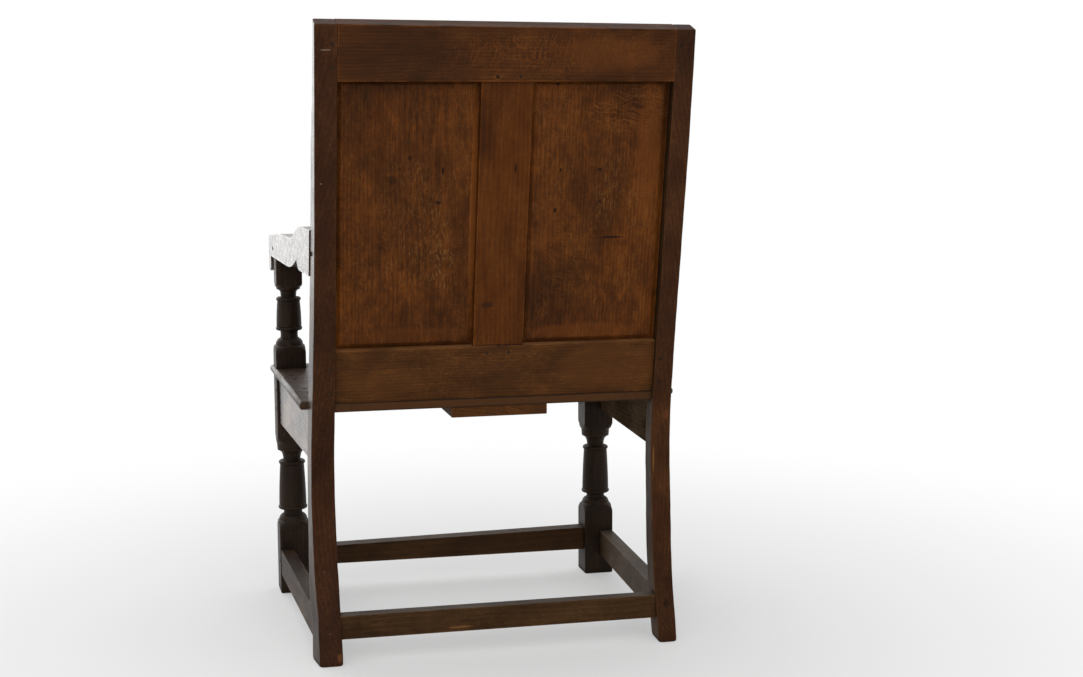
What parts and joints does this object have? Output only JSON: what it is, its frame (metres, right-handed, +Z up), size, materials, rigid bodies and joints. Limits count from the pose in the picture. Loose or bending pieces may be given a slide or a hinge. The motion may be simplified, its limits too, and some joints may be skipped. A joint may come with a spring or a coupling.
{
  "type": "wainscot chair",
  "caption": "Joined oak armchair with a panelled raked back, a board seat, shaped arms on turned baluster front posts and low box stretchers.",
  "frame": {"origin": "on the floor, at the middle of the chair's bounding box", "axes": "+Z up; the sitter faces -Y; +X is on the sitter's left"},
  "size_m": [0.6852, 0.678, 1.0875],
  "materials": {
    "oak_frame": "dark old oak, waxed and worn",
    "oak_panel": "warm brown oak panel, mottled",
    "oak_seat": "dark oak board, rubbed and dusty",
    "oak_arm": "dark oak polished by hands",
    "oak_pegs": "dark oak end grain"
  },
  "bodies": {
    "root": {"rear_post_left": "oak_frame", "rear_post_right": "oak_frame", "front_post_left": "oak_frame", "front_post_right": "oak_frame", "top_back_rail": "oak_frame", "lower_back_rail": "oak_frame", "back_muntin": "oak_frame", "back_panel_left": "oak_panel", "back_panel_right": "oak_panel", "front_seat_rail": "oak_frame", "side_seat_rail_left": "oak_frame", "side_seat_rail_right": "oak_frame", "front_stretcher": "oak_frame", "rear_stretcher": "oak_frame", "side_stretcher_left": "oak_frame", "side_stretcher_right": "oak_frame", "seat_board_front": "oak_seat", "seat_board_middle": "oak_seat", "seat_board_rear": "oak_seat", "seat_batten": "oak_seat", "arm_left": "oak_arm", "arm_right": "oak_arm", "back_rail_pegs": "oak_pegs", "muntin_pegs": "oak_pegs", "side_rail_pegs": "oak_pegs", "front_rail_pegs": "oak_pegs", "stretcher_pegs": "oak_pegs", "arm_pegs": "oak_pegs", "seat_pegs": "oak_pegs"}
  },
  "joints": []
}
